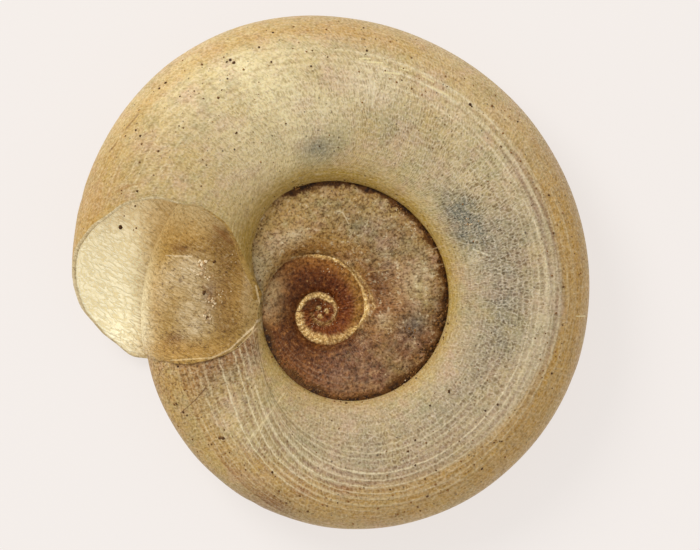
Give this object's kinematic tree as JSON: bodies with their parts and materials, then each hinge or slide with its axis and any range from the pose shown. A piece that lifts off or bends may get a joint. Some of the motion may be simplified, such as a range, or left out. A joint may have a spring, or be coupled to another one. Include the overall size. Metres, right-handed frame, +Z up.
{
  "type": "ramshorn snail shell",
  "caption": "Flat coiled freshwater snail shell lying on its side, with a wide sunken pit, a sloping oval mouth and a hollow that runs back from it.",
  "frame": {"origin": "middle of the shell's box, at the height of the surface that the shell lies on", "axes": "+Z up, along the axis that the shell coils round, out of the wide pit; the coil grows anticlockwise seen from +Z; the mouth is on the -X side and faces -X and -Y"},
  "size_m": [0.006, 0.006, 0.0017],
  "materials": {
    "shell": "satin"
  },
  "bodies": {
    "root": {"shell": "shell"}
  },
  "joints": []
}
